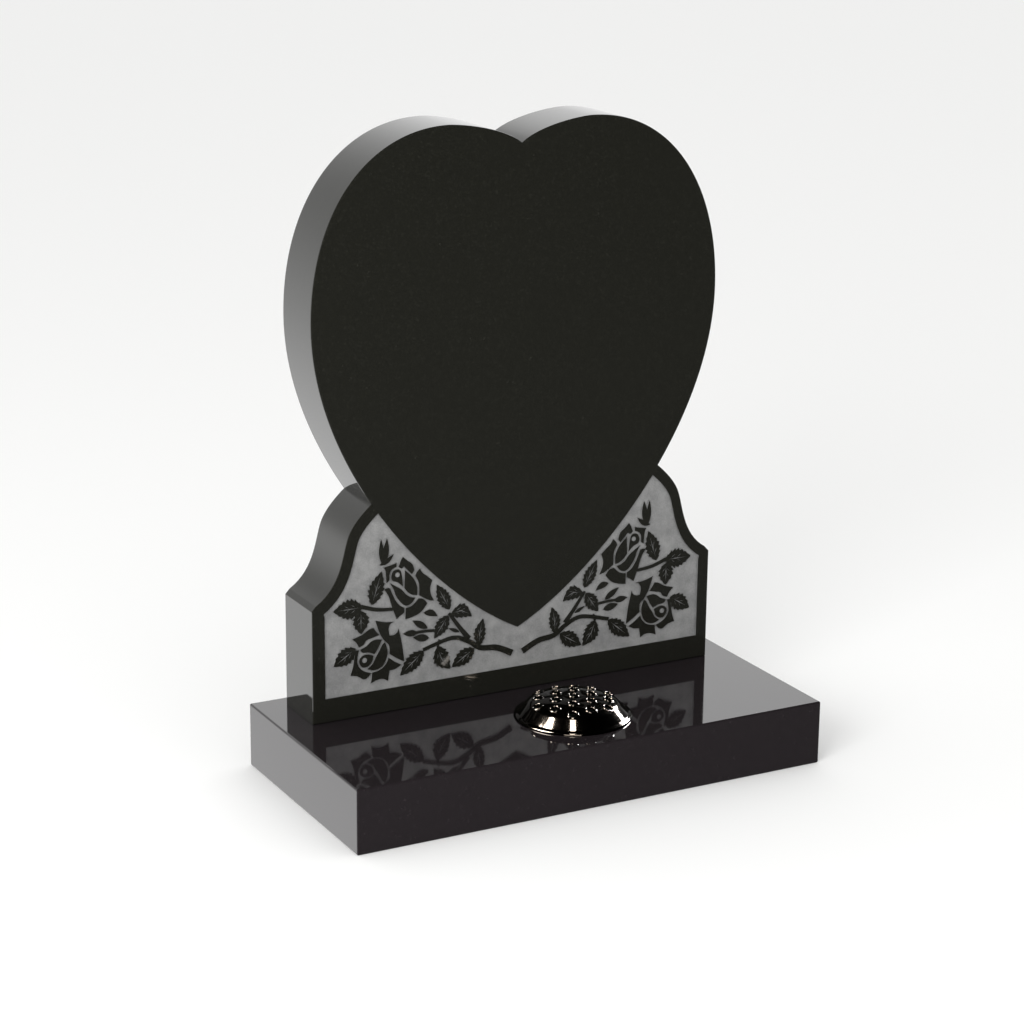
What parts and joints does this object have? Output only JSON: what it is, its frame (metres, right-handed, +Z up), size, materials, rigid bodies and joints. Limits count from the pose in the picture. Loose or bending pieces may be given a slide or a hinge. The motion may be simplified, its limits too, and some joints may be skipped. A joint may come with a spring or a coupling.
{
  "type": "heart headstone",
  "caption": "Black granite headstone, a heart on ogee shoulders with rose sprays on a sunk panel, on a granite base with a sunk flower pot and pierced dome lid.",
  "frame": {"origin": "middle of the base's underside, on the ground", "axes": "+Z up, front of the stone faces -Y, +X to the viewer's right"},
  "size_m": [0.61, 0.3, 0.764],
  "materials": {
    "polished_granite": "mirror-polished black granite, with a sandblasted grey panel",
    "base_granite": "mirror-polished black granite",
    "pot_aluminium": "plain spun",
    "lid_metal": "polished black-plated"
  },
  "bodies": {
    "root": {"headstone": "polished_granite", "base": "base_granite", "flower_pot": "pot_aluminium", "flower_lid": "lid_metal"}
  },
  "joints": []
}
